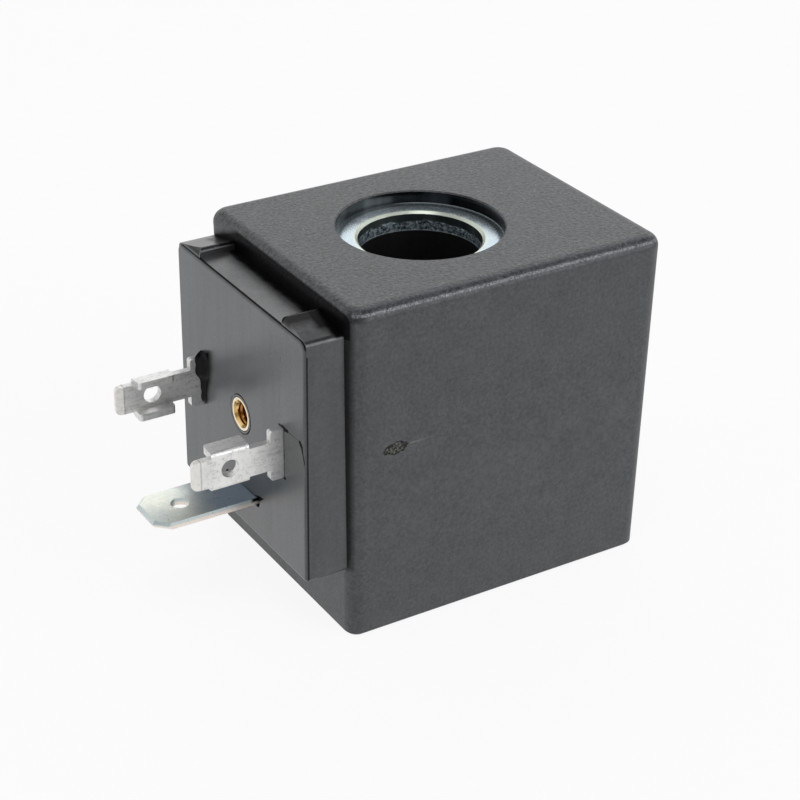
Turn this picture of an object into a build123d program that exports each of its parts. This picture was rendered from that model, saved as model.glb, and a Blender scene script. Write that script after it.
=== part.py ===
from build123d import *
from build123d.topology import SkipClean
import os
from math import atan2, cos, degrees, hypot, radians, sin

os.makedirs("parts", exist_ok=True)

# Frame: Z is the bore axis, and z = 0 is the lower yoke face, where the coil seats on its valve.
# The plug face looks along -X. All sizes are millimetres.

# Moulded body
body_height = 38.3
body_width = 30.6
body_front = 17.5
body_back = 20.9
body_corner_radius = 2.0
mould_draft = 0.8
top_edge_radius = 1.4
bottom_edge_chamfer = 0.35
seat_depth = 1.5
seat_radius = 9.0
seat_edge_chamfer = 0.15

# Magnetic frame
bore_radius = 6.65
punch_roll = 0.25
yoke_thickness = 2.2
yoke_width = 24.0
yoke_bend_radius = 0.8
leg_cover = 2.4
front_cover = 1.4
tongue_width = 8.0
tongue_clearance = 0.05

# Spool and winding
spool_wall = 1.2
flange_thickness = 1.2
flange_width = 26.0
flange_corner_radius = 3.0
winding_radius = 12.0
tape_thickness = 0.2
lead_groove_width = 0.9
lead_groove_depth = 0.7

# Terminal block
block_width = 27.7
block_height = 27.6
block_reach = 4.3
block_upper_corner = 1.0
block_lower_corner = 0.5
block_embedding = 0.9
block_rise = 0.5
block_edge_radius = 0.4
lug_height = 1.05
lug_inner_edge = 8.9
lug_crest_radius = 0.45
lug_outer_drop = 0.1
lug_outer_radius = 0.6
lug_front_gap = 0.25
lug_nose_radius = 0.85
lug_root = 1.5
tower_width = 4.0
tower_height = 8.0
tower_length = 3.6

# Terminals
terminal_height = 19.9
terminal_spacing = 18.0
terminal_thickness = 0.8
power_reach = 10.2
power_blade_height = 3.2
power_tip_bevel = 0.9
power_tip_thickness = 0.4
power_tip_radius = 0.5
terminal_hole_radius = 1.0
power_hole_distance = 6.05
ear_start = 3.9
ear_length = 4.2
ear_rise = 0.55
ear_overhang = 1.2
ear_slope = 0.15
ear_fold_radius = 0.5
ear_corner_radius = 0.35
shoulder_reach = 1.5
shoulder_height = 5.7
shoulder_corner_radius = 0.3
shoulder_root = 1.6
stem_height = 4.0
tag_length = 3.0
tag_height = 1.4

# Earth terminal
ground_drop = 9.0
ground_reach = 11.5
ground_width = 6.3
ground_chamfer_length = 1.25
ground_chamfer_width = 1.2
ground_tip_bevel = 0.3
ground_hole_distance = 7.4
ground_bend_radius = 0.4
ground_foot_height = 6.6
ground_slot_clearance = 0.1
ground_slot_relief = 0.6
ground_slot_depth = 1.2
rivet_radius = 1.2
rivet_height = 3.6
rivet_head_radius = 2.1
rivet_head_thickness = 0.8
rivet_sink_depth = 0.5

# Screw insert
insert_radius = 2.1
insert_length = 5.0
insert_thread_radius = 1.25
insert_thread_depth = 4.4
insert_mouth_chamfer = 0.3
insert_waist_depth = 0.3
insert_waist_length = 1.2
insert_seat_chamfer = 0.2

# Leads
lead_radius = 0.25
lead_inner_gap = 0.3
finish_lead_height = 27.0
sleeve_radius = 0.55
sleeve_end_gap = 1.2
solder_radius = 0.9
solder_height = 0.9

# Levels and faces that follow from the sizes above
body_bottom = -seat_depth
body_top = body_height - seat_depth
upper_seat = body_top - seat_depth
spool_bottom = yoke_thickness
spool_top = upper_seat - yoke_thickness
block_face = -(body_front + block_reach)
block_back = -(body_front - block_embedding)
block_middle = terminal_height + block_rise
block_top = block_middle + block_height / 2
closing_face = -(body_front - front_cover)
flange_front = closing_face + yoke_thickness
leg_outer = body_back - leg_cover
leg_inner = leg_outer - yoke_thickness
ground_height = terminal_height - ground_drop
tower_back = block_back + tower_length
tag_end = tower_back + tag_length
closing_plate_width = terminal_spacing - tower_width
lead_x = tower_back + tag_length / 2
lead_angle = degrees(atan2(terminal_spacing / 2, lead_x))
lead_distance = hypot(lead_x, terminal_spacing / 2)
tape_radius = winding_radius + tape_thickness
spool_radius = bore_radius + spool_wall


def slab(sketch, low, high):
    """A flat outline in XY, raised from one height to another."""
    return extrude(Pos(0, 0, low) * sketch, high - low)


def along_x(sketch, low, high):
    """An outline drawn as (Y, Z), run along X between two places."""
    return extrude(Plane.YZ.offset(low) * sketch, high - low)


def along_y(sketch, middle, width):
    """An outline drawn as (X, Z), run along Y about a middle place."""
    return Pos(0, middle, 0) * extrude(Plane.XZ * sketch, width / 2, both=True)


def strip(low, high, height):
    """A rectangle between two places on its own first axis, centred on the second."""
    return Pos((low + high) / 2, 0) * Rectangle(high - low, height)


def disc(radius, low, high):
    return slab(Circle(radius), low, high)


def ring(outer, inner, low, high):
    return slab(Circle(outer) - Circle(inner), low, high)


def moulded_shape():
    """The body's drafted block, widest at the top, with a rounded upper and a bevelled lower edge."""
    middle = (body_back - body_front) / 2
    outline = Pos(middle, 0, body_top)
    outline *= RectangleRounded(body_front + body_back, body_width, body_corner_radius)
    block = extrude(outline, -body_height, taper=mould_draft)
    block = chamfer(block.faces().sort_by(Axis.Z)[0].edges(), bottom_edge_chamfer)
    return fillet(block.faces().sort_by(Axis.Z)[-1].edges(), top_edge_radius)


def encapsulation(inner_pieces):
    """The overmould: its outer form, less everything that it is moulded round."""
    shell = moulded_shape()
    for low, high in ((body_bottom, 0), (upper_seat, body_top)):
        shell -= disc(seat_radius, low, high)
    mouths = shell.edges().filter_by(GeomType.CIRCLE)
    mouths = mouths.filter_by(lambda edge: abs(edge.radius - seat_radius) < 0.01)
    shell = chamfer([mouths.sort_by(Axis.Z)[0], mouths.sort_by(Axis.Z)[-1]], seat_edge_chamfer)
    shell -= disc(bore_radius, body_bottom, body_top)
    shell -= disc(bore_radius + punch_roll, upper_seat - punch_roll, upper_seat)
    shell -= disc(tape_radius, spool_bottom, spool_top)
    for piece in inner_pieces:
        shell -= piece
    return shell


def yoke_bracket():
    """A strip bent to a C: upper plate, back leg and lower plate, with punched holes."""
    outer = Pos((flange_front + leg_outer) / 2, upper_seat / 2) * Rectangle(leg_outer - flange_front, upper_seat)
    outer = fillet(outer.vertices().group_by(Axis.X)[-1], yoke_bend_radius + yoke_thickness)
    window_height = spool_top - spool_bottom
    window = Pos((flange_front + leg_inner) / 2, upper_seat / 2)
    window *= Rectangle(leg_inner - flange_front, window_height)
    window = fillet(window.vertices().group_by(Axis.X)[-1], yoke_bend_radius)
    bracket = along_y(outer - window, 0, yoke_width)
    tongue = strip(closing_face, flange_front, tongue_width)
    bracket += slab(tongue, 0, spool_bottom)
    bracket += slab(tongue, spool_top, upper_seat)
    bracket -= disc(bore_radius, 0, upper_seat)
    rims = bracket.edges().filter_by(GeomType.CIRCLE).sort_by(Axis.Z)
    bracket = chamfer(rims[-1], punch_roll)
    for low, high in ((0, spool_bottom), (spool_top, upper_seat)):
        bracket = with_bare_seat(bracket, low, high)
    return bracket


def with_bare_seat(bracket, low, high):
    """Gives the ring that the moulding leaves bare faces of its own, with the seat's outline."""
    seat = bracket & disc(seat_radius, low, high)
    with SkipClean():
        return (bracket - seat) + seat


def closing_plate():
    """The flat plate across the bracket's open side, notched over its two tongues."""
    blank = Pos(0, upper_seat / 2) * Rectangle(closing_plate_width, upper_seat)
    plate = along_x(blank, closing_face, flange_front)
    notch_width = tongue_width + 2 * tongue_clearance
    for middle in (spool_bottom / 2, (spool_top + upper_seat) / 2):
        notch = Pos(0, middle) * Rectangle(notch_width, yoke_thickness)
        plate -= along_x(notch, closing_face, flange_front)
    return plate - rivet()


def bobbin():
    """The spool: a tube between two flanges, with a groove that leads the inner wire out."""
    spool = ring(spool_radius, bore_radius, spool_bottom, spool_top)
    flange_back = leg_inner - yoke_bend_radius
    outline = Pos((flange_front + flange_back) / 2, 0)
    outline *= RectangleRounded(flange_back - flange_front, flange_width, flange_corner_radius)
    outline -= Circle(bore_radius)
    spool += slab(outline, spool_bottom, spool_bottom + flange_thickness)
    spool += slab(outline, spool_top - flange_thickness, spool_top)
    groove_start = spool_radius - spool_wall / 2
    groove_end = lead_distance + lead_groove_width
    groove = strip(groove_start, groove_end, lead_groove_width)
    floor = spool_top - flange_thickness
    return spool - Rot(0, 0, lead_angle) * slab(groove, floor, floor + lead_groove_depth)


def winding():
    return ring(winding_radius, spool_radius, spool_bottom + flange_thickness, spool_top - flange_thickness)


def winding_tape():
    wrap = ring(tape_radius, winding_radius, spool_bottom + flange_thickness, spool_top - flange_thickness)
    return wrap - finish_lead()


def ear():
    """One folded ear as (Y, Z): the blade's edge carried up and bent over to one side."""
    half = terminal_thickness / 2
    top = power_blade_height / 2 + ear_rise
    root = top - terminal_thickness
    reach = half + ear_overhang
    fold = Polyline(
        (-half, root),
        (-half, top),
        (reach, top + ear_slope),
        (reach, root + ear_slope),
        (half, root),
        close=True,
    )
    profile = make_face(fold)
    profile = fillet(profile.vertices().sort_by(Axis.Y)[-2:].sort_by(Axis.X)[0], ear_fold_radius)
    piece = along_x(profile, block_face - ear_start - ear_length, block_face - ear_start)
    corners = piece.edges().filter_by(Axis.Z).group_by(Axis.Y)[-1]
    return fillet(corners, ear_corner_radius)


def power_terminal(side):
    """A stamped contact: blade with two folded ears, shoulder, stem and solder tag."""
    tip = block_face - power_reach
    shoulder = strip(block_face - shoulder_reach, block_face + shoulder_root, shoulder_height)
    shoulder = fillet(shoulder.vertices().group_by(Axis.X)[0], shoulder_corner_radius)
    blade = strip(tip, block_face, power_blade_height)
    blade = fillet(blade.vertices().group_by(Axis.X)[0], power_tip_radius)
    flat = blade + shoulder
    flat += strip(block_face, tower_back, stem_height)
    flat += strip(tower_back, tag_end, tag_height)
    flat -= Pos(block_face - power_hole_distance, 0) * Circle(terminal_hole_radius)
    plan = Polyline(
        (tip, power_tip_thickness / 2),
        (tip + power_tip_bevel, terminal_thickness / 2),
        (tag_end, terminal_thickness / 2),
        (tag_end, -terminal_thickness / 2),
        (tip + power_tip_bevel, -terminal_thickness / 2),
        (tip, -power_tip_thickness / 2),
        close=True,
    )
    contact = along_y(flat, 0, terminal_thickness) & slab(make_face(plan), -shoulder_height, shoulder_height)
    upper_ear = ear()
    contact += upper_ear + mirror(upper_ear, Plane.XY)
    if side > 0:
        contact = mirror(contact, Plane.XZ)
    return Pos(0, side * terminal_spacing / 2, terminal_height) * contact


def ground_terminal():
    """The earth blade: chamfered tip, level through the block, then a foot turned up."""
    tip = block_face - ground_reach
    low = ground_height - terminal_thickness / 2
    high = ground_height + terminal_thickness / 2
    foot_face = closing_face - terminal_thickness
    side = make_face(Polyline(
        (tip, low),
        (tip, high),
        (foot_face, high),
        (foot_face, low + ground_foot_height),
        (closing_face, low + ground_foot_height),
        (closing_face, low),
        close=True,
    ))
    inner_corner = side.vertices().sort_by_distance((foot_face, high))[0]
    side = fillet(inner_corner, ground_bend_radius)
    outer_corner = side.vertices().sort_by_distance((closing_face, low))[0]
    side = fillet(outer_corner, ground_bend_radius + terminal_thickness)
    outline = strip(tip, closing_face, ground_width)
    for corner in outline.vertices().group_by(Axis.X)[0]:
        inward = -1 if corner.Y > 0 else 1
        outline -= make_face(Polyline(
            (tip, corner.Y),
            (tip + ground_chamfer_length, corner.Y),
            (tip, corner.Y + inward * ground_chamfer_width),
            close=True,
        ))
    outline -= Pos(block_face - ground_hole_distance, 0) * Circle(terminal_hole_radius)
    blade = along_y(side, 0, ground_width) & slab(outline, low, low + ground_foot_height)
    tip_end = tip + ground_chamfer_length + ground_tip_bevel
    rims = blade.edges().filter_by(lambda edge: edge.bounding_box().max.X < tip_end)
    rims = rims.filter_by(lambda edge: edge.bounding_box().size.Z < ground_tip_bevel)
    return chamfer(rims, ground_tip_bevel) - rivet()


def rivet():
    """The rivet that clamps the earth blade's foot to the closing plate, flush behind."""
    head_face = closing_face - terminal_thickness
    middle = Pos(0, ground_height + rivet_height)
    body = along_x(middle * Circle(rivet_radius), head_face, flange_front)
    body += along_x(middle * Circle(rivet_head_radius), head_face - rivet_head_thickness, head_face)
    sink_place = Plane.YZ.offset(flange_front) * middle
    sink_radius = rivet_radius + rivet_sink_depth
    sink = extrude(sink_place * Circle(sink_radius), -rivet_sink_depth, taper=45)
    return body + sink


def insert_outline():
    """The outside of the screw insert: a bush with a waist that the plastic grips."""
    middle = Pos(0, terminal_height)
    bush = along_x(middle * Circle(insert_radius), block_face, block_face + insert_length)
    waist = Circle(insert_radius) - Circle(insert_radius - insert_waist_depth)
    waist_start = block_face + (insert_length - insert_waist_length) / 2
    return bush - along_x(middle * waist, waist_start, waist_start + insert_waist_length)


def threaded_insert():
    """The brass insert with the blind hole for the plug's centre screw."""
    middle = Pos(0, terminal_height)
    insert = insert_outline()
    insert -= along_x(middle * Circle(insert_thread_radius), block_face, block_face + insert_thread_depth)
    mouth_place = Plane.YZ.offset(block_face) * middle
    mouth = Circle(insert_thread_radius + insert_mouth_chamfer)
    return insert - extrude(mouth_place * mouth, insert_mouth_chamfer, taper=45)


def lug(side):
    """A pad on the block's top, highest at its inner edge, that slopes down to the block's side."""
    low = block_top - lug_root
    crest = (lug_inner_edge, block_top + lug_height)
    edge = (block_width / 2, block_top - lug_outer_drop)
    across = make_face(Polyline(crest, edge, (edge[0], low), (crest[0], low), close=True))
    across = fillet(across.vertices().sort_by_distance(crest)[0], lug_crest_radius)
    across = fillet(across.vertices().sort_by_distance(edge)[0], lug_outer_radius)
    front = block_face + lug_front_gap
    length = block_back - front
    lengthways = Pos(front + length / 2, (low + crest[1]) / 2) * Rectangle(length, crest[1] - low)
    nose = lengthways.vertices().sort_by_distance((front, crest[1]))[0]
    lengthways = fillet(nose, lug_nose_radius)
    pad = along_x(across, block_face, block_back) & along_y(lengthways, 0, block_width)
    return pad if side > 0 else mirror(pad, Plane.XZ)


def block_envelope():
    """The block's outer form: the plug face's square, its two lugs and two rear towers."""
    square = Pos(0, block_middle) * Rectangle(block_width, block_height)
    square = fillet(square.vertices().group_by(Axis.Y)[-1], block_upper_corner)
    square = fillet(square.vertices().group_by(Axis.Y)[0], block_lower_corner)
    block = along_x(square, block_face, block_back)
    block = fillet(block.faces().sort_by(Axis.X)[0].edges(), block_edge_radius)
    for side in (-1, 1):
        block += lug(side)
        tower = Pos(side * terminal_spacing / 2, terminal_height) * Rectangle(tower_width, tower_height)
        block += along_x(tower, block_back, tower_back)
    return block


def ground_slot():
    """The shallow slot round the earth blade, with a round relief at each end."""
    width = ground_width + 2 * ground_slot_clearance
    height = terminal_thickness + 2 * ground_slot_clearance
    opening = Pos(0, ground_height) * Rectangle(width, height)
    for side in (-1, 1):
        opening += Pos(side * width / 2, ground_height) * Circle(ground_slot_relief)
    return along_x(opening, block_face, block_face + ground_slot_depth)


def terminal_block():
    block = block_envelope() - ground_slot()
    for side in (-1, 1):
        block -= power_terminal(side)
    block -= insert_outline()
    mouth = Plane.YZ.offset(block_face) * Pos(0, terminal_height)
    mouth *= Circle(insert_radius + insert_seat_chamfer)
    block -= extrude(mouth, insert_seat_chamfer, taper=45)
    return block - ground_terminal() - rivet()


def lead(inner_distance, side, height):
    """A wire end: straight out from the winding, then down to its solder tag."""
    angle = radians(lead_angle) * side
    start = (inner_distance * cos(angle), inner_distance * sin(angle), height)
    corner = (lead_x, side * terminal_spacing / 2, height)
    end = (lead_x, side * terminal_spacing / 2, terminal_height + tag_height / 2)
    path = Polyline(start, corner, end)
    section = Plane(origin=start, z_dir=Vector(*corner) - Vector(*start)) * Circle(lead_radius)
    return sweep(section, path=path, transition=Transition.RIGHT)


def start_lead():
    height = spool_top - flange_thickness + lead_groove_depth - lead_radius
    return lead(spool_radius + lead_inner_gap, 1, height)


def finish_lead():
    return lead(winding_radius, -1, finish_lead_height)


def sleeve(wire, side, top):
    """Insulating sleeving over the straight part of a wire end."""
    low = terminal_height + tag_height / 2 + sleeve_end_gap
    high = top - sleeve_end_gap
    tube = Pos(lead_x, side * terminal_spacing / 2) * Circle(sleeve_radius)
    return slab(tube, low, high) - wire


def solder_joint(wire, side):
    """The cone of solder that holds a wire end on its tag, from the tag's middle up."""
    height = tag_height / 2 + solder_height
    standing = (Align.CENTER, Align.CENTER, Align.MIN)
    cone = Cone(solder_radius, lead_radius, height, align=standing)
    return Pos(lead_x, side * terminal_spacing / 2, terminal_height) * cone - power_terminal(side) - wire


def build():
    start_wire = start_lead()
    finish_wire = finish_lead()
    start_top = spool_top - flange_thickness
    pieces = {
        "terminal_block": terminal_block(),
        "bobbin": bobbin(),
        "winding": winding(),
        "winding_tape": winding_tape(),
        "yoke_bracket": yoke_bracket(),
        "yoke_closing_plate": closing_plate(),
        "power_terminal_left": power_terminal(1),
        "power_terminal_right": power_terminal(-1),
        "ground_terminal": ground_terminal(),
        "ground_rivet": rivet(),
        "threaded_insert": threaded_insert(),
        "start_lead": start_wire,
        "finish_lead": finish_wire,
        "start_lead_sleeve": sleeve(start_wire, 1, start_top),
        "finish_lead_sleeve": sleeve(finish_wire, -1, finish_lead_height),
        "start_solder_joint": solder_joint(start_wire, 1),
        "finish_solder_joint": solder_joint(finish_wire, -1),
    }
    hollow = [piece for name, piece in pieces.items() if name != "terminal_block"]
    pieces["encapsulation"] = encapsulation([block_envelope()] + hollow)
    return pieces


for name, piece in build().items():
    export_step(piece, f"parts/{name}.step")
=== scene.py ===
from math import cos, pi, radians, sin

import bpy
from mathutils import Matrix, Vector


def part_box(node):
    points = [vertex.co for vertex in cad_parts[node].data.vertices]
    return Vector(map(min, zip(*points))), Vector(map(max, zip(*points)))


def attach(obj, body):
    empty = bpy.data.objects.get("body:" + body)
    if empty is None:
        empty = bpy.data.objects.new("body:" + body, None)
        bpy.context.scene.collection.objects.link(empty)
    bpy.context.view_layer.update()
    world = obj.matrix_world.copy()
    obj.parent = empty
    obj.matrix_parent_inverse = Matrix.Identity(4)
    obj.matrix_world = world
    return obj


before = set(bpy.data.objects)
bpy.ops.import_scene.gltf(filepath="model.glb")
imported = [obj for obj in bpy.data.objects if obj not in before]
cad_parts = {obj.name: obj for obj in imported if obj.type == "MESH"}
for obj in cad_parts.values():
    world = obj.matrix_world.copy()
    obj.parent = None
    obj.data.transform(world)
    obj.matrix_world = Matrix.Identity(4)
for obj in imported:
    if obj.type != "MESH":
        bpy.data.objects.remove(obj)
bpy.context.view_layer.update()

MM = 0.001

# Camera: heading and dip of the line of sight, roll, and the aim's place in the view
camera_heading = radians(31.97)
camera_dip = radians(28.71)
camera_roll = radians(0.91)
camera_distance = 225.04 * MM
camera_aim = Vector((0, 0, 17.5 * MM))
aim_right = 1.882 * MM
aim_up = 1.674 * MM
focal_length_px = 2045.1
image_width_px = 800
sensor_width = 36.0
nearest_seen = 1 * MM

# Places on the part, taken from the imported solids
body_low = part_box("encapsulation")[0]
block_low, block_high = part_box("terminal_block")
yoke_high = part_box("yoke_bracket")[1]
insert_low, insert_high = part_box("threaded_insert")
contact_thickness = 0.8 * MM
near_contact_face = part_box("power_terminal_right")[0].y
far_contact_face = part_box("power_terminal_left")[1].y - contact_thickness
blade_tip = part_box("power_terminal_right")[0].x

# The contacts and the screw insert
contact_height = 19.9 * MM
shoulder_half_height = 2.85 * MM
bevel_length = 0.9 * MM
earth_top = 11.3 * MM
earth_lower_edge = earth_top - 0.5 * MM
earth_upper_edge = earth_top - 0.3 * MM
insert_visible_radius = 1.82 * MM
insert_seat_radius = 2.3 * MM

# The recess at the top, the yoke's ring at its foot, and the torn wall of the ring's hole
seat_radius = 9.0 * MM
glint_bearing = radians(32)
plate_thickness = 2.2 * MM
# Painted shade: a grey band on the ring's outer edge by the recess wall
outer_edge_shade = (8.2 * MM, 8.45 * MM)
# Painted highlight: a pale line on the ring's inner rim at the hole
rim_highlight = (7.12 * MM, 7.02 * MM)
rough_rim = (7.1 * MM, 6.95 * MM)
torn_height = (1.15 * MM, 0.95 * MM)
lip_height = (0.16 * MM, 0.1 * MM)

# The gate: where the plastic was fed into the mould, on the body's near side
gate_x = -12.05 * MM
gate_z = 20.5 * MM
gate_half_length = 1.4 * MM
gate_half_height = 0.68 * MM
parting_line_start = -10.2 * MM
parting_line_end = -7.0 * MM
parting_line_z = gate_z + 0.1 * MM

# The block's top and its lugs: where each shade starts and where it is full
block_top = 34.2 * MM
lug_inner_edge = 8.9 * MM
lug_crest = (-2.9 * MM, -1.5 * MM)
lug_rim = (-0.7 * MM, -0.3 * MM)
low_top_rear = (-18.35 * MM, -18.0 * MM)
lug_top_rear = (-20.1 * MM, -18.9 * MM)

# The shade on the body's front wall: how far it climbs at the far end, and how far over the rest
wall_shade_least = block_top + 0.2 * MM
wall_shade_most = block_top + 2.4 * MM
wall_shade_fade = 5.5 * MM

# Marks on the plug face. Each runs from one place to another, in mm, with half its width at both.
# These are measured from the near contact's face and the top of its shoulder.
shoulder_foot = -2 * shoulder_half_height / MM
crack_marks = (
    ((-0.9, 0.08), (0.0, 0.05), 0.1, 0.26),
    ((0.0, 0.05), (0.9, 0.12), 0.26, 0.16),
    ((3.4, 0.05), (3.7, -0.3), 0.22, 0.22),
    ((3.7, -0.3), (4.1, -1.2), 0.2, 0.06),
    ((4.1, -1.2), (4.25, -2.1), 0.06, 0.0),
    ((0.03, 0.0), (0.06, shoulder_foot), 0.05, 0.08),
    ((-0.1, shoulder_foot), (0.15, shoulder_foot), 0.12, 0.2),
)
hairline_mark = ((0.9, 0.12), (3.2, 0.14), 0.04, 0.03)

# These are measured from the middle of the earth blade and from its top: a slit, then a small hollow
earth_marks = (
    ((1.1, 0.03), (-2.4, 0.06), 0.03, 0.08),
    ((-2.9, 0.0), (-3.9, 0.3), 0.2, 0.28),
    ((-3.9, 0.3), (-4.8, 0.75), 0.26, 0.02),
)
mark_softness = 0.05

# The floor
floor_half_size = 3.0
floor_gap = 0.02 * MM
floor_glow = 0.9
white = (1.0, 1.0, 1.0, 1.0)


def srgb(value):
    """One grey level or colour level of 0 to 255 as linear light."""
    level = value / 255
    return level / 12.92 if level <= 0.04045 else ((level + 0.055) / 1.055) ** 2.4


def tone(red, green, blue):
    return (srgb(red), srgb(green), srgb(blue), 1.0)


class Tree:
    """A node tree, with short calls for the nodes that this scene needs."""

    def __init__(self, tree):
        self.tree = tree

    def add(self, kind, **settings):
        node = self.tree.nodes.new(kind)
        for key, value in settings.items():
            setattr(node, key, value)
        return node

    def link(self, source, target):
        self.tree.links.new(source, target)

    def feed(self, socket, value):
        if isinstance(value, bpy.types.NodeSocket):
            self.link(value, socket)
        else:
            socket.default_value = value

    def part(self, vector, name):
        """One of a vector's three parts."""
        node = self.add("ShaderNodeSeparateXYZ")
        self.link(vector, node.inputs["Vector"])
        return node.outputs[name]

    def spread(self, value, low, high, out_low=0.0, out_high=1.0):
        """The value carried from one range to another, and held inside the second."""
        node = self.add("ShaderNodeMapRange")
        self.feed(node.inputs["Value"], value)
        node.inputs["From Min"].default_value = low
        node.inputs["From Max"].default_value = high
        node.inputs["To Min"].default_value = out_low
        node.inputs["To Max"].default_value = out_high
        return node.outputs["Result"]

    def math(self, operation, first, second=0.0):
        node = self.add("ShaderNodeMath", operation=operation)
        self.feed(node.inputs[0], first)
        self.feed(node.inputs[1], second)
        return node.outputs["Value"]

    def chain(self, operation, first, others):
        for other in others:
            first = self.math(operation, first, other)
        return first

    def times(self, first, *others):
        return self.chain("MULTIPLY", first, others)

    def plus(self, first, *others):
        return self.chain("ADD", first, others)

    def most(self, first, *others):
        return self.chain("MAXIMUM", first, others)

    def minus(self, first, second):
        return self.math("SUBTRACT", first, second)

    def over(self, first, second):
        return self.math("DIVIDE", first, second)

    def square(self, value):
        return self.math("POWER", value, 2.0)

    def size(self, value):
        """The value without its sign."""
        return self.math("ABSOLUTE", value)

    def apart(self, first, second):
        """How far two values are from each other."""
        return self.size(self.minus(first, second))

    def length(self, across, upward):
        """The length of a slanting line from its two sides."""
        return self.math("SQRT", self.plus(self.square(across), self.square(upward)))

    def within(self, value, limit):
        """One where the value is below the limit."""
        return self.math("LESS_THAN", value, limit)

    def mix(self, factor, first, second, kind="RGBA"):
        node = self.add("ShaderNodeMix", data_type=kind)
        self.feed(node.inputs["Factor"], factor)
        self.feed(node.inputs["A"], first)
        self.feed(node.inputs["B"], second)
        return node.outputs["Result"]

    def blend(self, factor, first, second):
        """The same for plain numbers."""
        return self.mix(factor, first, second, kind="FLOAT")

    def coats(self, colour, *layers):
        """The colour under some layers, each one a share and the tone that it lays over the rest."""
        for share, layer in layers:
            colour = self.mix(share, colour, layer)
        return colour

    def either(self, factor, first, second):
        """The first shader, or the second one where the factor is one."""
        node = self.add("ShaderNodeMixShader")
        self.link(factor, node.inputs["Fac"])
        self.link(first, node.inputs[1])
        self.link(second, node.inputs[2])
        return node.outputs["Shader"]


class Nodes(Tree):
    """A material's node tree, with calls for textures, places, directions and relief."""

    def __init__(self, name):
        self.material = bpy.data.materials.new(name)
        self.material.use_nodes = True
        super().__init__(self.material.node_tree)
        self.shader = self.tree.nodes["Principled BSDF"]
        self.place = self.add("ShaderNodeTexCoord").outputs["Object"]

    def stretched(self, scale):
        node = self.add("ShaderNodeMapping")
        node.inputs["Scale"].default_value = scale
        self.link(self.place, node.inputs["Vector"])
        return node.outputs["Vector"]

    def noise(self, scale, detail=2.0, roughness=0.5, place=None, distortion=0.0):
        node = self.add("ShaderNodeTexNoise")
        node.inputs["Scale"].default_value = scale
        node.inputs["Detail"].default_value = detail
        node.inputs["Roughness"].default_value = roughness
        node.inputs["Distortion"].default_value = distortion
        self.link(place or self.place, node.inputs["Vector"])
        return node.outputs["Fac"]

    def cells(self, scale):
        node = self.add("ShaderNodeTexVoronoi")
        node.inputs["Scale"].default_value = scale
        self.link(self.place, node.inputs["Vector"])
        return node.outputs["Distance"]

    def waver(self, noise, reach, low=0.3, high=0.7):
        """An uneven step to either side, for ragged edges."""
        return self.spread(noise, low, high, -reach, reach)

    def axis(self, name):
        return self.part(self.place, name)

    def normal(self, name):
        """One part of the surface's own direction, in the part's frame."""
        return self.part(self.add("ShaderNodeNewGeometry").outputs["Normal"], name)

    def radius(self):
        """Distance from the bore's axis."""
        return self.length(self.axis("X"), self.axis("Y"))

    def from_insert(self):
        """Distance from the screw insert's axis."""
        return self.length(self.axis("Y"), self.minus(self.axis("Z"), contact_height))

    def stroke(self, across, upward, start, end, start_width, end_width):
        """One on a straight mark between two places in mm, with half its width at each end."""
        step = (end[0] - start[0], end[1] - start[1])
        aside = self.minus(self.over(across, MM), start[0])
        above = self.minus(self.over(upward, MM), start[1])
        along = self.plus(self.times(aside, step[0]), self.times(above, step[1]))
        share = self.spread(along, 0.0, step[0] ** 2 + step[1] ** 2)
        aside = self.minus(aside, self.times(share, step[0]))
        above = self.minus(above, self.times(share, step[1]))
        width = self.spread(share, 0.0, 1.0, start_width, end_width)
        return self.spread(self.minus(self.length(aside, above), width), mark_softness, 0.0)

    def strokes(self, across, upward, marks):
        return self.most(*(self.stroke(across, upward, *mark) for mark in marks))

    def bump(self, height, distance, below=None):
        node = self.add("ShaderNodeBump")
        node.inputs["Distance"].default_value = distance
        node.inputs["Strength"].default_value = 1.0
        self.link(height, node.inputs["Height"])
        if below:
            self.link(below, node.inputs["Normal"])
        return node.outputs["Normal"]

    def finish(self, colour, roughness, normal, metallic=0.0, specular=0.5, tint=(1.0, 1.0, 1.0)):
        self.feed(self.shader.inputs["Base Color"], colour)
        self.feed(self.shader.inputs["Roughness"], roughness)
        self.feed(self.shader.inputs["Metallic"], metallic)
        self.feed(self.shader.inputs["Specular IOR Level"], specular)
        self.shader.inputs["Specular Tint"].default_value = (*tint, 1.0)
        self.link(normal, self.shader.inputs["Normal"])
        return self.material

    def plain(self, texture, tones, roughness, relief, low=0.3, high=0.7, **looks):
        """Two tones, two levels of roughness and a relief that all follow one texture."""
        colour = self.mix(self.spread(texture, low, high), *tones)
        rough = self.spread(texture, low, high, *roughness)
        return self.finish(colour, rough, self.bump(texture, relief), **looks)


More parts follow.
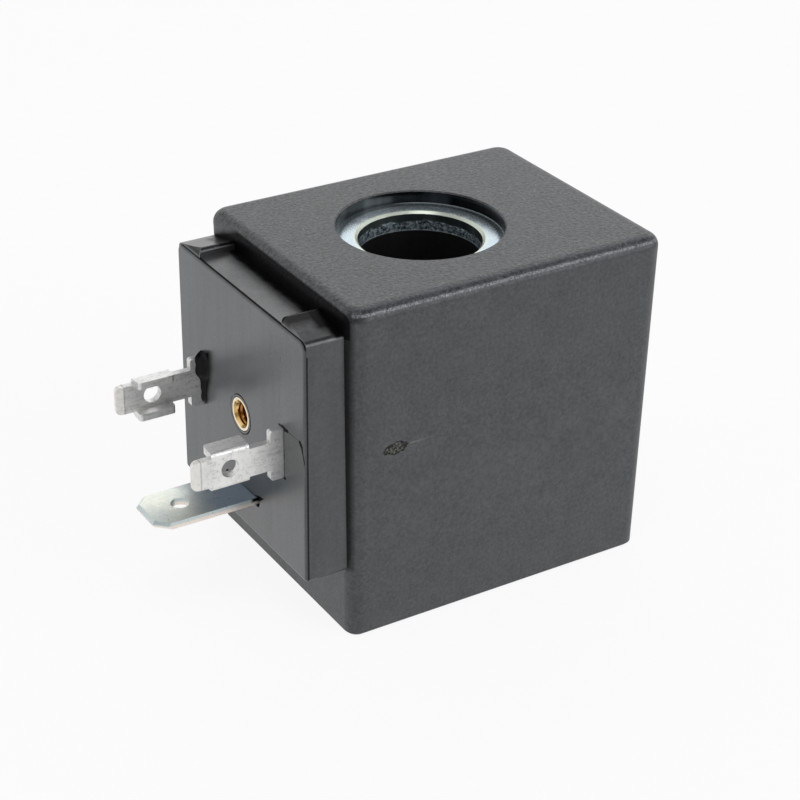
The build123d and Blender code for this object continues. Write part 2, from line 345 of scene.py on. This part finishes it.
def body_plastic():
    """Black glass-filled plastic: a spark-eroded grain on top, finer on the sides, a glossy recess."""
    nodes = Nodes("body_plastic")
    rise = nodes.normal("Z")
    nearward = nodes.times(nodes.normal("Y"), -1.0)
    top = nodes.spread(rise, 0.15, 0.85)
    grain = nodes.noise(3300, detail=2.0, roughness=0.7)
    mottle = nodes.noise(2500, detail=3.0, roughness=0.75)
    torn = nodes.noise(3000, detail=4.0, roughness=0.7)
    clouds = nodes.noise(110, detail=3.0)
    smears = nodes.noise(420, detail=3.0, roughness=0.6)
    specks = nodes.spread(nodes.noise(3600, detail=1.0), 0.66, 0.76)
    specks = nodes.times(specks, nodes.spread(top, 0.0, 1.0, 0.03, 0.26))

    # The recess: streaks down its wall, a painted glint on the right and a pale painted highlight at its
    # foot
    in_recess = nodes.within(nodes.radius(), seat_radius + 0.2 * MM)
    recess = nodes.times(in_recess, nodes.spread(top, 0.5, 0.2))
    streaks = nodes.noise(380, detail=2.0, place=nodes.stretched((1.0, 1.0, 0.15)))
    rightward = nodes.times(nodes.axis("X"), cos(glint_bearing) / seat_radius)
    backward = nodes.times(nodes.axis("Y"), sin(glint_bearing) / seat_radius)
    glint = nodes.spread(nodes.plus(rightward, backward), 0.9, 0.985, 0.0, 0.8)
    glint = nodes.times(glint, nodes.spread(streaks, 0.35, 0.6, 0.4, 1.0), recess)
    # Painted highlight: a pale line at the foot of the recess wall, on its right part only
    foot_highlight = nodes.spread(nodes.axis("Z"), yoke_high.z + 0.12 * MM, yoke_high.z + 0.07 * MM)
    foot_highlight = nodes.times(foot_highlight, nodes.spread(nodes.axis("X"), 1.5 * MM, 4 * MM), recess, 0.7)

    # The near side: the gate's scar and the faint line that runs on from it
    near_side = nodes.within(nodes.axis("Y"), body_low.y + 2 * MM)
    reach = gate_reach(nodes)
    gate = nodes.times(nodes.spread(reach, 1.0, 0.8), near_side)
    line = nodes.times(parting_line(nodes), near_side, 0.2)
    scar = nodes.mix(nodes.spread(torn, 0.45, 0.6), tone(12, 12, 11), tone(114, 113, 104))
    scar = nodes.mix(nodes.spread(reach, 0.35, 0.8), scar, tone(4, 4, 4))

    # The near top edge: a narrow speckled painted highlight along the rounding, a pale band of
    # painted light above it and a duller one below
    near_edge = nodes.spread(nearward, 0.4, 0.6)
    highlight_breaks = nodes.spread(nodes.noise(5200, detail=2.0, roughness=0.8), 0.42, 0.6, 0.05, 0.9)
    # Painted highlight along the near top edge, broken into specks
    edge_highlight = nodes.times(nodes.spread(nodes.apart(rise, 0.6), 0.12, 0.05), near_edge, highlight_breaks)
    # Painted light: a pale band on the rounding above the highlight
    pale = nodes.times(nodes.spread(rise, 0.84, 0.93), nodes.spread(nearward, 0.1, 0.22), 0.6)
    under = nodes.times(nodes.spread(nodes.apart(rise, 0.3), 0.25, 0.12, 0.0, 0.22), near_edge)

    shade = front_shade(nodes)
    colour = nodes.coats(
        nodes.mix(nodes.spread(grain, 0.35, 0.7), tone(18, 19, 21), tone(38, 39, 41)),
        (nodes.spread(clouds, 0.35, 0.75, 0.0, 0.3), tone(50, 50, 46)),
        (specks, tone(160, 160, 158)),
        (line, tone(160, 158, 152)),
        (gate, scar),
        (recess, tone(5, 6, 7)),
        (glint, tone(76, 84, 94)),
        (edge_highlight, tone(134, 136, 142)),
        (pale, tone(84, 86, 90)),
        (shade, tone(5, 5, 6)),
        (foot_highlight, tone(190, 196, 196)),
    )
    rough = nodes.blend(recess, nodes.spread(grain, 0.3, 0.7, 0.4, 0.5), 0.16)
    relief = nodes.times(nodes.spread(top, 0.0, 1.0, 0.35, 1.0), nodes.spread(recess, 0.0, 1.0, 1.0, 0.03))
    normal = nodes.bump(nodes.times(nodes.minus(grain, 0.5), relief), 0.08 * MM)
    normal = nodes.bump(nodes.times(nodes.minus(torn, 1.2), gate), 0.25 * MM, below=normal)

    # How strongly the surface shines: mottled all over, streaked in the recess, dull in the shade
    swing = nodes.spread(top, 0.0, 1.0, 0.26, 0.6)
    shine = nodes.times(nodes.spread(mottle, 0.3, 0.7, -1.0, 1.0), swing)
    shine = nodes.plus(shine, nodes.spread(smears, 0.3, 0.7, 0.9, 1.06))
    shine = nodes.blend(recess, shine, nodes.spread(streaks, 0.4, 0.62, 0.25, 0.75))
    shine = nodes.times(
        shine,
        nodes.spread(shade, 0.0, 1.0, 1.0, 0.04),
        nodes.spread(gate, 0.0, 1.0, 1.0, 0.25),
        nodes.minus(1.0, under),
    )
    return nodes.finish(colour, rough, normal, specular=shine, tint=(0.93, 0.965, 1.0))


def front_shade(nodes):
    """One on the body's front wall above the contact block and in the corner close beside it."""
    forward = nodes.times(nodes.normal("X"), -1.0)
    height = nodes.axis("Z")
    corner = nodes.times(
        nodes.spread(forward, 0.55, 0.85, 0.0, 0.8),
        nodes.spread(nodes.size(nodes.normal("Y")), 0.15, 0.3),
        nodes.spread(height, block_low.z - 0.2 * MM, block_low.z + 0.5 * MM),
    )
    far_end = (block_high.y, block_high.y - wall_shade_fade)
    limit = nodes.spread(nodes.axis("Y"), *far_end, wall_shade_least, wall_shade_most)
    wall = nodes.times(
        nodes.spread(forward, 0.7, 0.82, 0.0, 0.97),
        nodes.spread(height, block_top - 1 * MM, block_top - 0.5 * MM),
        nodes.spread(nodes.minus(height, limit), 0.35 * MM, -0.35 * MM),
    )
    return nodes.most(corner, wall)


def gate_reach(nodes):
    """Below one inside the ragged oval where the sprue broke off."""
    along = nodes.over(nodes.minus(nodes.axis("X"), gate_x), gate_half_length)
    upward = nodes.over(nodes.minus(nodes.axis("Z"), gate_z), gate_half_height)
    ragged = nodes.waver(nodes.noise(1500, detail=3.0), 0.7, low=0.2, high=0.8)
    return nodes.plus(nodes.square(along), nodes.square(upward), ragged)


def parting_line(nodes):
    """One on the thin line that runs back from the gate and fades away."""
    along = nodes.axis("X")
    waver = nodes.waver(nodes.noise(400, detail=1.0), 0.08 * MM)
    offset = nodes.plus(nodes.minus(nodes.axis("Z"), parting_line_z), waver)
    return nodes.times(
        nodes.spread(nodes.size(offset), 0.16 * MM, 0.04 * MM),
        nodes.spread(along, parting_line_start - 0.3 * MM, parting_line_start),
        nodes.spread(along, parting_line_end, parting_line_start),
    )


def block_plastic():
    """The contact block's smoother black plastic: flow marks, dark cracks, slots and edges, with painted
    light on its front and back faces and painted shade by the far contact and on the lugs.
    """
    nodes = Nodes("block_plastic")
    fine = nodes.noise(2600, detail=2.0, roughness=0.6)
    speckle = nodes.noise(2700, detail=3.0, roughness=0.7)
    flow = nodes.noise(170, detail=3.0, place=nodes.stretched((1.0, 1.0, 0.18)), distortion=0.4)
    streaks = nodes.noise(600, detail=2.0, place=nodes.stretched((1.0, 1.0, 0.12)))
    face = nodes.within(nodes.axis("X"), block_low.x + 0.3 * MM)
    seat = nodes.times(face, nodes.within(nodes.from_insert(), insert_seat_radius + 0.02 * MM))
    # Painted light: the faces that face front and back are drawn lighter
    face_light = nodes.times(nodes.spread(nodes.size(nodes.normal("X")), 0.8, 0.95), 0.5)
    # Dark cracks, slits and edge lines, together with painted shade by the far contact and on the lugs
    gaps_and_shade = nodes.most(
        nodes.times(face, contact_cracks_and_shade(nodes)),
        nodes.times(face, earth_slot(nodes)),
        edge_line(nodes),
        lug_shade(nodes),
    )
    colour = nodes.coats(
        nodes.mix(nodes.spread(flow, 0.35, 0.7), tone(32, 33, 34), tone(54, 55, 55)),
        (face_light, tone(86, 88, 90)),
        (seat, tone(98, 99, 100)),
        (gaps_and_shade, tone(3, 3, 4)),
    )
    roughness = nodes.spread(flow, 0.3, 0.7, 0.26, 0.36)
    height = nodes.plus(nodes.times(fine, 0.35), nodes.times(flow, 0.65))
    normal = nodes.bump(nodes.minus(height, nodes.times(gaps_and_shade, 3.0)), 0.02 * MM)
    shine = nodes.times(
        nodes.spread(speckle, 0.3, 0.7, 0.8, 1.1),
        nodes.spread(streaks, 0.35, 0.65, 0.9, 1.08),
        nodes.spread(gaps_and_shade, 0.0, 1.0, 1.0, 0.05),
    )
    return nodes.finish(colour, roughness, normal, specular=shine, tint=(0.95, 0.97, 1.0))


def edge_line(nodes):
    """One on the dark line that runs along the plug face's rounded edge."""
    facing = nodes.size(nodes.normal("X"))
    upper = nodes.spread(nodes.normal("Z"), 0.1, 0.6)
    top_line = nodes.times(nodes.spread(facing, 0.06, 0.2), nodes.spread(facing, 0.75, 0.55))
    side_line = nodes.times(nodes.spread(facing, 0.03, 0.1), nodes.spread(facing, 0.55, 0.4, 0.0, 0.8))
    line = nodes.blend(upper, side_line, top_line)
    return nodes.times(line, nodes.within(nodes.axis("X"), block_low.x + 0.45 * MM))


def lug_shade(nodes):
    """Dark where the lugs and the block's top turn towards the dark gap before the body."""
    across = nodes.axis("Y")
    raised = nodes.spread(nodes.axis("Z"), block_top + 0.02 * MM, block_top + 0.35 * MM)
    ragged = nodes.waver(nodes.noise(900, detail=2.0), 0.1 * MM)

    # The near lug's top grows darker up to a rim at its inner edge
    inward = nodes.plus(across, lug_inner_edge, ragged)
    crest = nodes.most(nodes.spread(inward, *lug_crest, 0.0, 0.82), nodes.spread(inward, *lug_rim))
    crest = nodes.times(crest, raised, nodes.within(across, 0.0))

    # All tops are dark at the rear, the lugs further forward than the top between them
    behind = nodes.plus(nodes.axis("X"), ragged)
    low_rear = nodes.spread(behind, *low_top_rear, 0.0, 0.95)
    lug_rear = nodes.spread(behind, *lug_top_rear, 0.0, 0.95)
    upper = nodes.spread(nodes.normal("Z"), 0.3, 0.6)
    rear = nodes.times(nodes.blend(raised, low_rear, lug_rear), upper)

    # The far lug is dark from its inner wall on
    far = nodes.times(
        nodes.spread(across, lug_inner_edge, lug_inner_edge + 0.2 * MM),
        raised,
        nodes.spread(nodes.normal("Z"), 0.3, 0.7, 0.85, 0.4),
    )
    return nodes.most(crest, rear, far)


def earth_slot(nodes):
    """One in the slit above the earth blade and in the small hollow at its near end."""
    return nodes.strokes(nodes.axis("Y"), nodes.minus(nodes.axis("Z"), earth_top), earth_marks)


def contact_cracks_and_shade(nodes):
    """One in the dark shade by the far contact and in the cracks by the near one."""
    across = nodes.axis("Y")
    upward = nodes.minus(nodes.axis("Z"), contact_height)
    waver = nodes.waver(nodes.noise(900, detail=2.0), 0.07 * MM, low=0.25, high=0.75)

    # The far contact's painted shade: wider above the middle, fading towards the middle of the face
    reach = nodes.minus(far_contact_face, nodes.plus(across, waver))
    width = nodes.spread(upward, -1.2 * MM, 0.8 * MM, 0.7 * MM, 1.5 * MM)
    level = nodes.minus(upward, nodes.times(reach, 0.5))
    # Painted shade beside the far contact's shoulder
    hollow = nodes.times(
        nodes.spread(nodes.over(reach, width), 1.7, 0.9),
        nodes.spread(nodes.apart(level, 0.3 * MM), 3.3 * MM, 2.9 * MM),
        nodes.spread(across, far_contact_face + 0.35 * MM, far_contact_face + 0.2 * MM),
        nodes.spread(across, 0.0, 2 * MM),
    )

    # The near contact's cracks, from the top of its shoulder out to the block's edge
    drop = nodes.plus(nodes.minus(near_contact_face, across), waver)
    above = nodes.plus(nodes.minus(upward, shoulder_half_height), waver)
    cracks = nodes.strokes(drop, above, crack_marks)
    hairline = nodes.times(nodes.stroke(drop, above, *hairline_mark), 0.55)
    return nodes.most(hollow, cracks, hairline)


def hidden_plastic():
    """The spool's plain black plastic."""
    nodes = Nodes("spool_plastic")
    tones = (tone(14, 14, 15), tone(24, 24, 25))
    return nodes.plain(nodes.noise(3000, detail=2.0), tones, (0.4, 0.55), 0.01 * MM, specular=0.35)


def yoke_steel():
    """Bright zinc on the punched plate: polished faces, a torn zone low in each hole, a painted highlight
    on the hole's rim, painted shade on the ring's outer edge and on the hole's wall.
    """
    nodes = Nodes("yoke_steel")
    fine = nodes.noise(900, detail=3.0, roughness=0.6)
    crystals = nodes.noise(2600, detail=4.0, roughness=0.75)
    streaks = nodes.noise(420, detail=2.0, place=nodes.stretched((1.0, 1.0, 0.12)))
    radius = nodes.radius()
    ragged = nodes.plus(radius, nodes.waver(fine, 0.06 * MM))

    # The wall of the hole: torn at the bottom, with a bright lip below that
    inside = nodes.spread(nodes.size(nodes.normal("Z")), 0.5, 0.3)
    depth = nodes.minus(nodes.axis("Z"), yoke_high.z - plate_thickness)
    edge = nodes.waver(nodes.noise(500, detail=3.0), 0.25 * MM)
    torn = nodes.times(nodes.spread(nodes.plus(depth, edge), *torn_height), inside)
    lip = nodes.times(nodes.spread(depth, *lip_height), inside, 0.6)

    shadowed = nodes.mix(nodes.spread(streaks, 0.35, 0.65), tone(52, 60, 60), tone(92, 102, 102))
    broken = nodes.mix(nodes.spread(crystals, 0.42, 0.62), tone(48, 60, 66), tone(186, 202, 212))
    colour = nodes.coats(
        nodes.mix(nodes.spread(fine, 0.35, 0.65), tone(186, 202, 210), tone(206, 219, 226)),
        (nodes.spread(ragged, *outer_edge_shade, 0.0, 0.85), tone(112, 126, 132)),
        (nodes.spread(ragged, *rim_highlight, 0.0, 0.6), tone(226, 230, 204)),
        (inside, shadowed),
        (torn, broken),
        (lip, tone(196, 208, 212)),
    )
    roughness = nodes.plus(
        nodes.spread(fine, 0.3, 0.7, 0.22, 0.3),
        nodes.times(inside, 0.12),
        nodes.spread(radius, *rough_rim, 0.0, 0.15),
    )
    normal = nodes.bump(fine, 0.006 * MM)
    normal = nodes.bump(nodes.times(crystals, torn), 0.12 * MM, below=normal)
    return nodes.finish(colour, roughness, normal, metallic=0.8)


def tin_plate():
    """Dull tin over the stamped contacts, with fine pits, drag marks and a bevel at the blade's tip that
    carries a painted highlight and a painted dark line at its edge.
    """
    nodes = Nodes("tin_plate")
    pits = nodes.noise(2300, detail=4.0, roughness=0.8)
    drag = nodes.noise(1500, detail=2.0, place=nodes.stretched((0.25, 1.0, 1.0)))
    scratches = nodes.noise(2600, detail=2.0, place=nodes.stretched((0.1, 1.0, 1.0)), distortion=0.3)
    clouds = nodes.noise(260, detail=2.0)
    from_tip = nodes.minus(nodes.axis("X"), blade_tip)
    # Painted highlight on the tip's bevel
    bevel = nodes.times(nodes.within(from_tip, bevel_length), 0.35)
    # Painted shade: a dark line where the bevel meets the flat
    bevel_edge_shade = nodes.spread(nodes.apart(from_tip, bevel_length), 0.09 * MM, 0.04 * MM, 0.0, 0.45)
    colour = nodes.coats(
        nodes.mix(nodes.spread(clouds, 0.3, 0.7), tone(222, 222, 221), tone(240, 240, 238)),
        (nodes.spread(pits, 0.52, 0.66, 0.0, 0.6), tone(176, 174, 172)),
        (nodes.spread(scratches, 0.56, 0.7, 0.0, 0.4), tone(178, 177, 176)),
        (bevel, tone(246, 242, 232)),
        (bevel_edge_shade, tone(120, 118, 116)),
    )
    roughness = nodes.spread(pits, 0.3, 0.7, 0.38, 0.52)
    height = nodes.plus(nodes.times(pits, 0.6), nodes.times(drag, 0.4))
    return nodes.finish(colour, roughness, nodes.bump(height, 0.06 * MM), metallic=0.8)


def zinc_plate():
    """Blue-bright zinc on the earth blade: pale at the tip, bluer at its root, warm on the cut edges."""
    nodes = Nodes("zinc_plate")
    clouds = nodes.noise(320, detail=3.0)
    fine = nodes.noise(2400, detail=3.0, roughness=0.6)
    upper = nodes.spread(nodes.normal("Z"), 0.7, 0.95)
    cut_edge = nodes.spread(nodes.normal("Y"), -0.5, -0.8)
    lower_half = nodes.spread(nodes.axis("Z"), earth_upper_edge, earth_lower_edge)
    root = nodes.plus(nodes.axis("X"), nodes.waver(clouds, 1.2 * MM))
    root = nodes.spread(root, block_low.x - 7 * MM, block_low.x - 3 * MM)
    smudge = nodes.spread(nodes.axis("X"), block_low.x - 0.75 * MM, block_low.x - 0.4 * MM)
    smudge = nodes.times(smudge, cut_edge, nodes.minus(1.0, lower_half))
    blade = nodes.coats(
        nodes.mix(nodes.spread(clouds, 0.3, 0.7), tone(206, 214, 212), tone(226, 228, 216)),
        (nodes.times(root, 0.9), tone(132, 150, 170)),
    )
    edges = nodes.mix(lower_half, tone(206, 218, 218), tone(250, 238, 228))
    colour = nodes.coats(edges, (upper, blade), (smudge, tone(8, 8, 9)))
    metallic = nodes.blend(upper, 0.5, nodes.spread(root, 0.0, 1.0, 0.95, 0.4))
    roughness = nodes.spread(fine, 0.3, 0.7, 0.26, 0.36)
    return nodes.finish(colour, roughness, nodes.bump(fine, 0.007 * MM), metallic=metallic)


def insert_brass():
    """Turned brass with a pale rim and a brown hole; block plastic crept over the edge of its flange."""
    nodes = Nodes("insert_brass")
    turned = nodes.noise(2400, detail=2.0, place=nodes.stretched((1.0, 0.4, 0.4)))
    clouds = nodes.noise(700, detail=2.0)
    edge = nodes.minus(nodes.from_insert(), insert_visible_radius)
    edge = nodes.plus(edge, nodes.waver(clouds, 0.04 * MM))
    rim = nodes.spread(edge, -0.35 * MM, -0.2 * MM)
    covered = nodes.spread(edge, -0.03 * MM, 0.03 * MM)
    plastic = nodes.spread(edge, 0.08 * MM, 0.12 * MM)
    hole = nodes.spread(nodes.axis("X"), insert_low.x + 0.15 * MM, insert_low.x + 0.8 * MM)
    colour = nodes.coats(
        nodes.mix(nodes.spread(clouds, 0.3, 0.7), tone(210, 170, 100), tone(238, 206, 140)),
        (rim, tone(244, 232, 206)),
        (hole, tone(170, 112, 50)),
        (covered, tone(8, 8, 8)),
        (plastic, tone(84, 85, 86)),
    )
    roughness = nodes.blend(covered, nodes.spread(turned, 0.3, 0.7, 0.2, 0.32), 0.31)
    normal = nodes.bump(turned, 0.01 * MM)
    metallic = nodes.minus(1.0, covered)
    shine = nodes.blend(covered, 0.5, nodes.spread(plastic, 0.0, 1.0, 0.05, 0.95))
    return nodes.finish(colour, roughness, normal, metallic=metallic, specular=shine)


def copper_wire():
    """Enamelled copper, wound in close turns."""
    nodes = Nodes("copper_wire")
    turns = nodes.noise(400, detail=1.0, place=nodes.stretched((0.02, 0.02, 8.0)))
    tones = (tone(150, 74, 38), tone(196, 112, 66))
    return nodes.plain(turns, tones, (0.25, 0.4), 0.03 * MM, metallic=0.9)


def film_tape():
    """Yellow film tape over the winding."""
    nodes = Nodes("film_tape")
    wrinkles = nodes.noise(300, detail=2.0, place=nodes.stretched((0.3, 0.3, 1.0)))
    return nodes.plain(wrinkles, (tone(196, 156, 60), tone(216, 180, 84)), (0.25, 0.38), 0.02 * MM)


def glass_sleeving():
    """Woven glass sleeving round the wire ends."""
    nodes = Nodes("glass_sleeving")
    tones = (tone(228, 224, 210), tone(190, 184, 166))
    return nodes.plain(nodes.cells(3800), tones, (0.7, 0.85), 0.04 * MM, low=0.1, high=0.6)


def solder_metal():
    """Solder with a slightly frosted skin."""
    nodes = Nodes("solder_metal")
    tones = (tone(182, 184, 186), tone(208, 210, 212))
    return nodes.plain(nodes.noise(2000, detail=3.0), tones, (0.22, 0.38), 0.01 * MM, metallic=1.0)


def shaded_flash_plastic():
    """Smooth black plastic, as it set against the contact, drawn near black and dull as painted shade."""
    nodes = Nodes("shaded_flash_plastic")
    tones = (tone(6, 7, 7), tone(12, 13, 14))
    return nodes.plain(nodes.noise(1400, detail=2.0), tones, (0.28, 0.4), 0.02 * MM, specular=0.15)


def dress(material, *names):
    """Gives one material to every slot of the named solids."""
    for name in names:
        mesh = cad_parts[name].data
        for index in range(len(mesh.materials)):
            mesh.materials[index] = material


def dress_all():
    dress(body_plastic(), "encapsulation")
    dress(block_plastic(), "terminal_block")
    dress(hidden_plastic(), "bobbin")
    dress(yoke_steel(), "yoke_bracket", "yoke_closing_plate")
    dress(tin_plate(), "power_terminal_left", "power_terminal_right")
    dress(zinc_plate(), "ground_terminal", "ground_rivet")
    dress(insert_brass(), "threaded_insert")
    dress(copper_wire(), "winding", "start_lead", "finish_lead")
    dress(film_tape(), "winding_tape")
    dress(glass_sleeving(), "start_lead_sleeve", "finish_lead_sleeve")
    dress(solder_metal(), "start_solder_joint", "finish_solder_joint")


def strips(rows, width):
    """Four-sided faces between neighbouring rows of points, all of one width."""
    faces = []
    for row in range(rows):
        for side in range(width - 1):
            first = row * width + side
            faces.append((first, first + 1, first + width + 1, first + width))
    return faces


def piece(name, points, faces, material):
    """One object made of points and faces, in one material."""
    mesh = bpy.data.meshes.new(name)
    mesh.from_pydata(points, [], faces)
    mesh.shade_smooth()
    mesh.materials.append(material)
    made = bpy.data.objects.new(name, mesh)
    bpy.context.collection.objects.link(made)
    return made


def screw_thread():
    """The insert's thread: a fine ridge that winds down the hole."""
    axis_z = (insert_low.z + insert_high.z) / 2
    crest = 1.08 * MM
    root = 1.27 * MM
    pitch = 0.5 * MM
    start = insert_low.x + 0.35 * MM
    turns = 7
    steps = 48
    profile = ((root, -0.45), (crest, -0.06), (crest, 0.06), (root, 0.45))
    points = []
    for index in range(turns * steps + 1):
        angle = 2 * pi * index / steps
        x = start + pitch * index / steps
        for radius, offset in profile:
            points.append((x + offset * pitch, radius * cos(angle), axis_z + radius * sin(angle)))
    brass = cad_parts["threaded_insert"].data.materials[0]
    thread = piece("insert_thread", points, strips(turns * steps, len(profile)), brass)
    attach(thread, "root")


def contact_flash():
    """The lump of block plastic that crept up the inner side of the far contact's shoulder, drawn near
    black as painted shade.
    """
    low = contact_height - shoulder_half_height + 0.2 * MM
    high = contact_height + shoulder_half_height + 0.85 * MM
    sink = 0.02 * MM
    swell_start = 0.38
    swell_length = 0.25
    roundness = 1.6
    rows = 30
    steps = 10
    points = []
    for row in range(rows + 1):
        share = row / rows
        swell = min(max((share - swell_start) / swell_length, 0.0), 1.0)
        swell = swell * swell * (3 - 2 * swell)
        ends = min(1.0, (share * 12) ** 0.5, ((1 - share) * 7 + 0.05) ** 0.5)
        ripple = 0.035 * sin(23 * share) + 0.025 * sin(47 * share + 1)
        climb = ends * (0.42 + 0.58 * swell + ripple) * MM
        spill = ends * (0.75 + 0.95 * swell + ripple) * MM
        for step in range(steps + 1):
            along = step / steps
            x = block_low.x + sink - climb * (1 - along) ** roundness
            y = far_contact_face + sink - spill * along ** roundness
            points.append((x, y, low + (high - low) * share))
    flash = piece("contact_flash", points, strips(rows, steps + 1), shaded_flash_plastic())
    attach(flash, "root")


def floor():
    """A plain pale floor that shows white and keeps the shadow."""
    nodes = Nodes("floor_white")
    diffuse = nodes.add("ShaderNodeBsdfDiffuse")
    diffuse.inputs["Color"].default_value = (0.95, 0.95, 0.95, 1.0)
    glow = nodes.add("ShaderNodeEmission")
    glow.inputs["Color"].default_value = white
    glow.inputs["Strength"].default_value = 1.0
    rays = nodes.add("ShaderNodeLightPath").outputs
    seen = nodes.most(rays["Is Camera Ray"], rays["Is Glossy Ray"], rays["Is Transmission Ray"])
    share = nodes.times(seen, floor_glow)
    shown = nodes.either(share, diffuse.outputs["BSDF"], glow.outputs["Emission"])
    nodes.link(shown, nodes.tree.nodes["Material Output"].inputs["Surface"])
    half = floor_half_size
    corners = [(-half, -half, 0), (half, -half, 0), (half, half, 0), (-half, half, 0)]
    plane = piece("floor", corners, [(0, 1, 2, 3)], nodes.material)
    plane.location.z = body_low.z - floor_gap


def studio():
    """A white room low down, with a dim ceiling and a dim side behind the camera."""
    world = bpy.data.worlds.new("studio")
    world.use_nodes = True
    room = world.node_tree.nodes["Background"]
    nodes = Tree(world.node_tree)
    place = nodes.add("ShaderNodeTexCoord").outputs["Generated"]
    ceiling = nodes.spread(nodes.part(place, "Z"), 0.6, 0.8)
    backward = nodes.add("ShaderNodeVectorMath", operation="DOT_PRODUCT")
    nodes.link(place, backward.inputs[0])
    backward.inputs[1].default_value = (-sin(camera_heading), -cos(camera_heading), 0)
    behind = nodes.spread(backward.outputs["Value"], 0.55, 0.8)
    walls = nodes.mix(nodes.most(ceiling, behind), white, (0.1, 0.1, 0.11, 1.0))
    nodes.link(walls, room.inputs["Color"])
    blank = nodes.add("ShaderNodeBackground")
    blank.inputs["Color"].default_value = white
    seen = nodes.add("ShaderNodeLightPath").outputs["Is Camera Ray"]
    shown = nodes.either(seen, room.outputs["Background"], blank.outputs["Background"])
    nodes.link(shown, world.node_tree.nodes["World Output"].inputs["Surface"])
    bpy.context.scene.world = world


def lamp(name, radiance, size, direction, distance):
    """A square soft lamp of a plain radiance that looks at the part from one direction."""
    data = bpy.data.lights.new(name, "AREA")
    data.energy = radiance * pi * size * size
    data.size = size
    light = bpy.data.objects.new(name, data)
    towards = Vector(direction).normalized()
    light.location = towards * distance
    light.rotation_euler = towards.to_track_quat("Z", "Y").to_euler()
    light.visible_camera = False
    bpy.context.collection.objects.link(light)


def lamps():
    lamp("right_softbox", 2.0, 0.6, (0.458, -0.792, 0.42), 0.85)
    lamp("back_panel", 0.5, 1.0, (0.52, 0.70, 0.45), 1.0)
    lamp("overhead", 4.0, 0.3, (-0.25, -0.3, 0.95), 0.8)


def camera():
    data = bpy.data.cameras.new("camera")
    data.sensor_width = sensor_width
    data.lens = focal_length_px / image_width_px * sensor_width
    data.clip_start = nearest_seen
    sight = Vector((
        sin(camera_heading) * cos(camera_dip),
        cos(camera_heading) * cos(camera_dip),
        -sin(camera_dip),
    ))
    level = Vector((cos(camera_heading), -sin(camera_heading), 0))
    upright = level.cross(sight)
    right = level * cos(camera_roll) + upright * sin(camera_roll)
    up = upright * cos(camera_roll) - level * sin(camera_roll)
    place = camera_aim - right * aim_right - up * aim_up - sight * camera_distance
    eye = bpy.data.objects.new("camera", data)
    turn = Matrix((right, up, -sight)).transposed()
    eye.matrix_world = Matrix.Translation(place) @ turn.to_4x4()
    bpy.context.collection.objects.link(eye)
    bpy.context.scene.camera = eye


bpy.context.scene.view_settings.view_transform = "Standard"
dress_all()
screw_thread()
contact_flash()
floor()
studio()
lamps()
camera()
